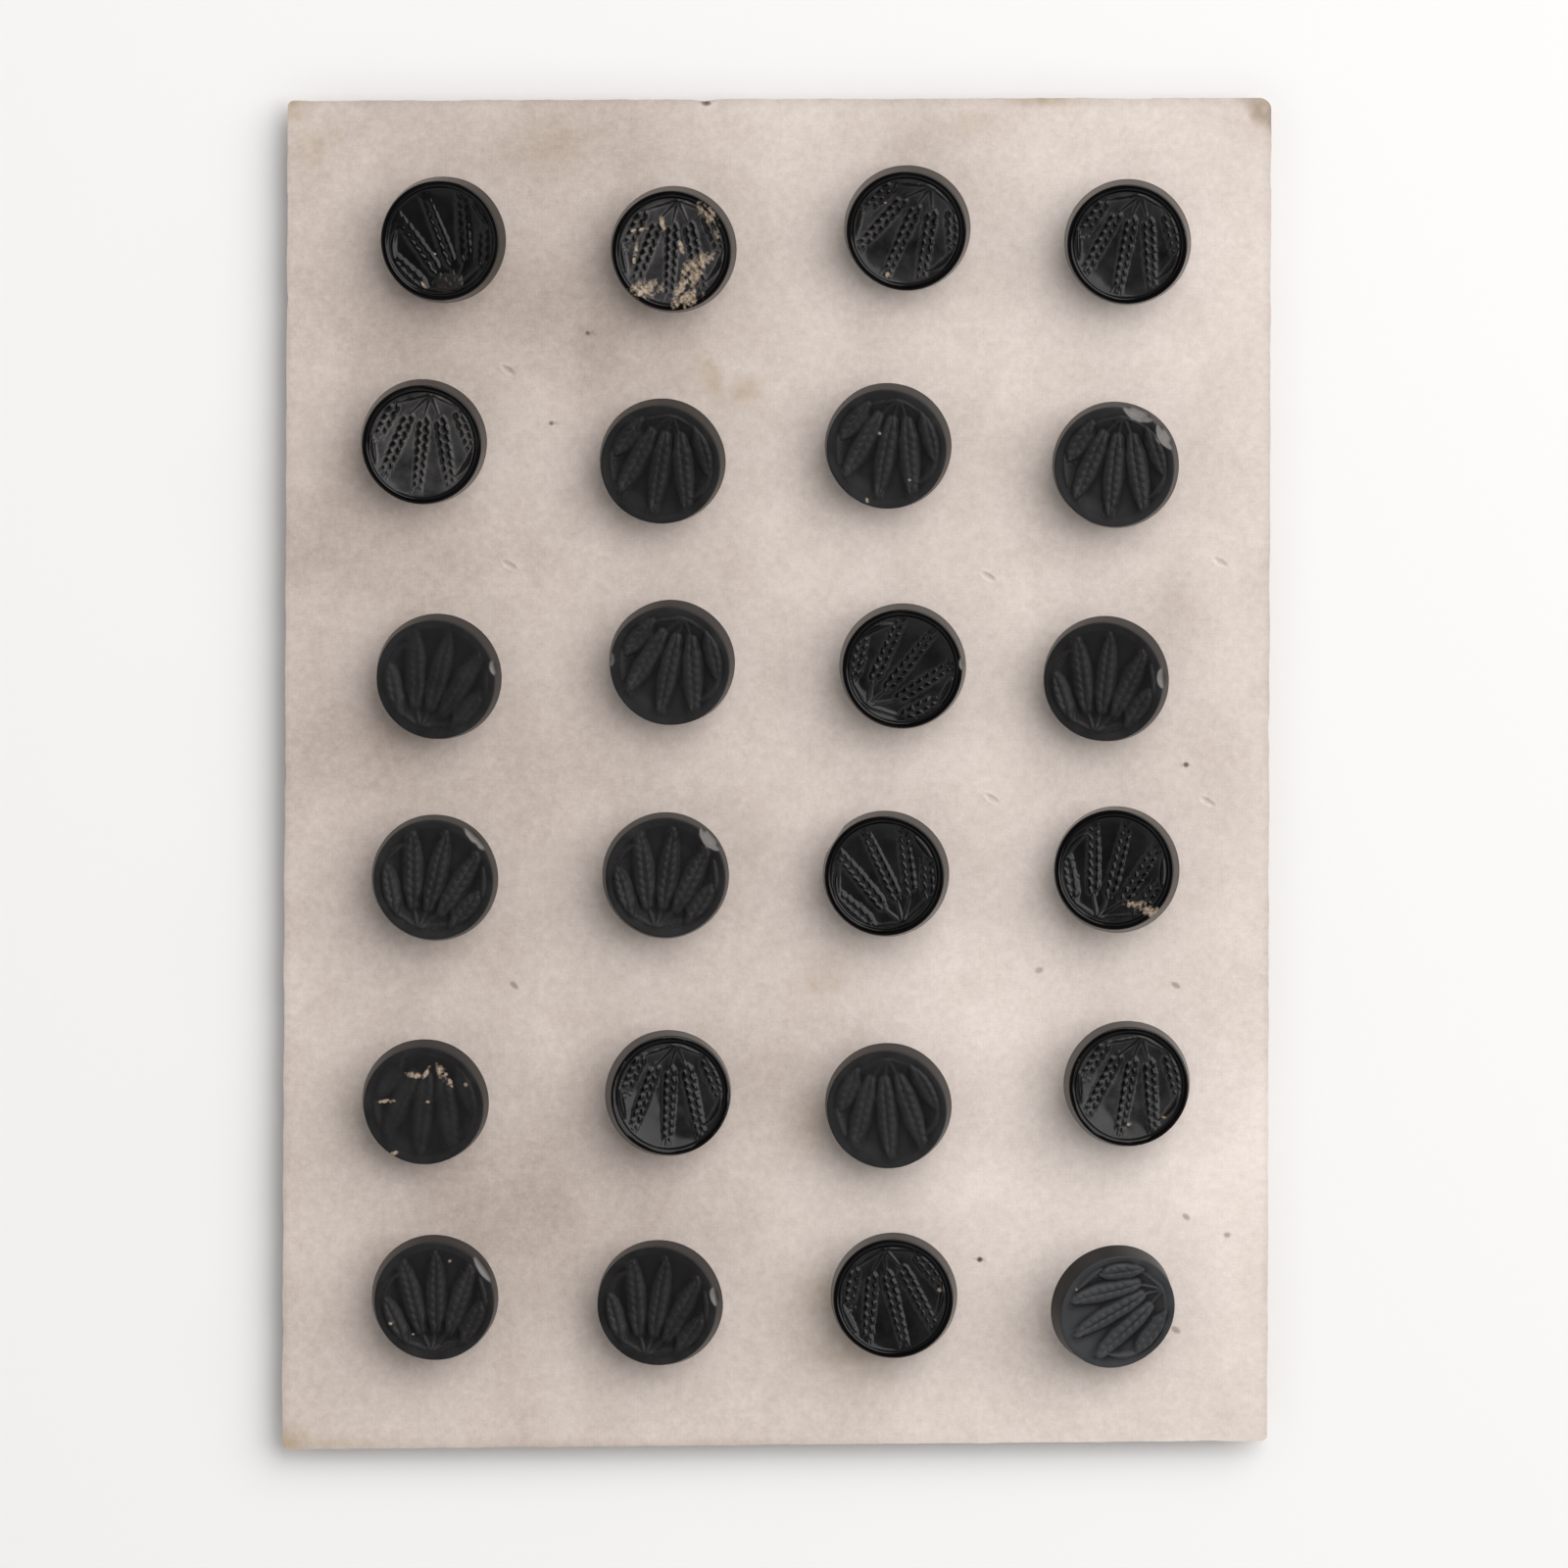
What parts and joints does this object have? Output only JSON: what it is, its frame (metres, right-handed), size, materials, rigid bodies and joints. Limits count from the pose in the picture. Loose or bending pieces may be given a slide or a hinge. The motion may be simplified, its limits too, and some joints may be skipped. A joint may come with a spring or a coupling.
{
  "type": "card of buttons",
  "caption": "Haberdasher's pasteboard card with rows of pressed black-glass dress buttons showing ears of wheat, held by wire shanks.",
  "frame": {"origin": "under the middle of the card, on the surface that the ends of the shanks stand on", "axes": "+Z out of the card's front, +Y towards its top edge, +X to its right seen from the front"},
  "size_m": [0.1252, 0.171, 0.013],
  "materials": {
    "pasteboard": "matt",
    "polished_glass": "gloss",
    "dull_glass": "satin",
    "shank_brass": "tarnished",
    "iron_wire": "dull"
  },
  "bodies": {
    "root": {"card": "pasteboard", "button_r1c1": "polished_glass", "shank_r1c1": "shank_brass", "button_r2c1": "polished_glass", "shank_r2c1": "shank_brass", "button_r3c1": "dull_glass", "shank_r3c1": "shank_brass", "button_r4c1": "dull_glass", "shank_r4c1": "shank_brass", "button_r5c1": "dull_glass", "shank_r5c1": "shank_brass", "button_r6c1": "dull_glass", "shank_r6c1": "shank_brass", "button_r1c2": "polished_glass", "shank_r1c2": "shank_brass", "button_r2c2": "dull_glass", "shank_r2c2": "shank_brass", "button_r3c2": "dull_glass", "shank_r3c2": "shank_brass", "button_r4c2": "dull_glass", "shank_r4c2": "shank_brass", "button_r5c2": "polished_glass", "shank_r5c2": "shank_brass", "button_r6c2": "dull_glass", "shank_r6c2": "shank_brass", "button_r1c3": "polished_glass", "shank_r1c3": "shank_brass", "button_r2c3": "dull_glass", "shank_r2c3": "shank_brass", "button_r3c3": "polished_glass", "shank_r3c3": "shank_brass", "button_r4c3": "polished_glass", "shank_r4c3": "shank_brass", "button_r5c3": "dull_glass", "shank_r5c3": "shank_brass", "button_r6c3": "polished_glass", "shank_r6c3": "shank_brass", "button_r1c4": "polished_glass", "shank_r1c4": "shank_brass", "button_r2c4": "dull_glass", "shank_r2c4": "shank_brass", "button_r3c4": "dull_glass", "shank_r3c4": "shank_brass", "button_r4c4": "polished_glass", "shank_r4c4": "shank_brass", "button_r5c4": "polished_glass", "shank_r5c4": "shank_brass", "button_r6c4": "dull_glass", "shank_r6c4": "shank_brass", "holding_wire_c1": "iron_wire", "holding_wire_c2": "iron_wire", "holding_wire_c3": "iron_wire", "holding_wire_c4": "iron_wire"}
  },
  "joints": []
}
